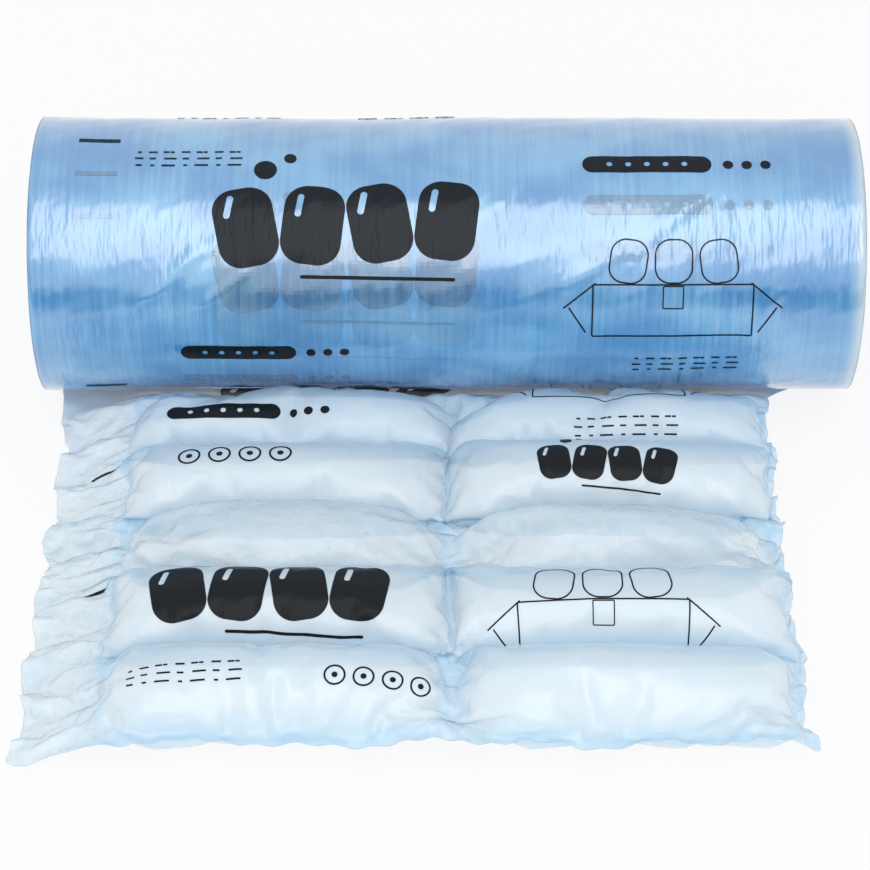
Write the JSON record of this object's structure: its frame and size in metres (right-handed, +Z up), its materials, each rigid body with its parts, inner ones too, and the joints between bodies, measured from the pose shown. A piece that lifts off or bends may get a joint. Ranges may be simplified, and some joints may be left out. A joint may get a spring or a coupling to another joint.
{
  "type": "air cushion film roll",
  "caption": "Lying roll of light blue air-cushion packing film on a cardboard core, its leading end blown up into rows of pillow-like chambers and laid out flat in front.",
  "frame": {"origin": "on the floor under the middle of the roll's axis, in the middle of the small flat spot that the roll lies on", "axes": "+X along the roll's axis to the right as seen from the blown-up strip, +Y back from the strip, +Z up; the strip lies towards -Y"},
  "size_m": [0.402, 0.3621, 0.1356],
  "materials": {
    "cardboard": "matt wound kraft board",
    "wound_film": "glossy, slightly milky film in many turns, finely wrinkled",
    "blown_film": "glossy translucent film, creased at the seals"
  },
  "bodies": {
    "root": {"core": "cardboard", "film_roll": "wound_film", "cushion_strip": "blown_film"}
  },
  "joints": []
}
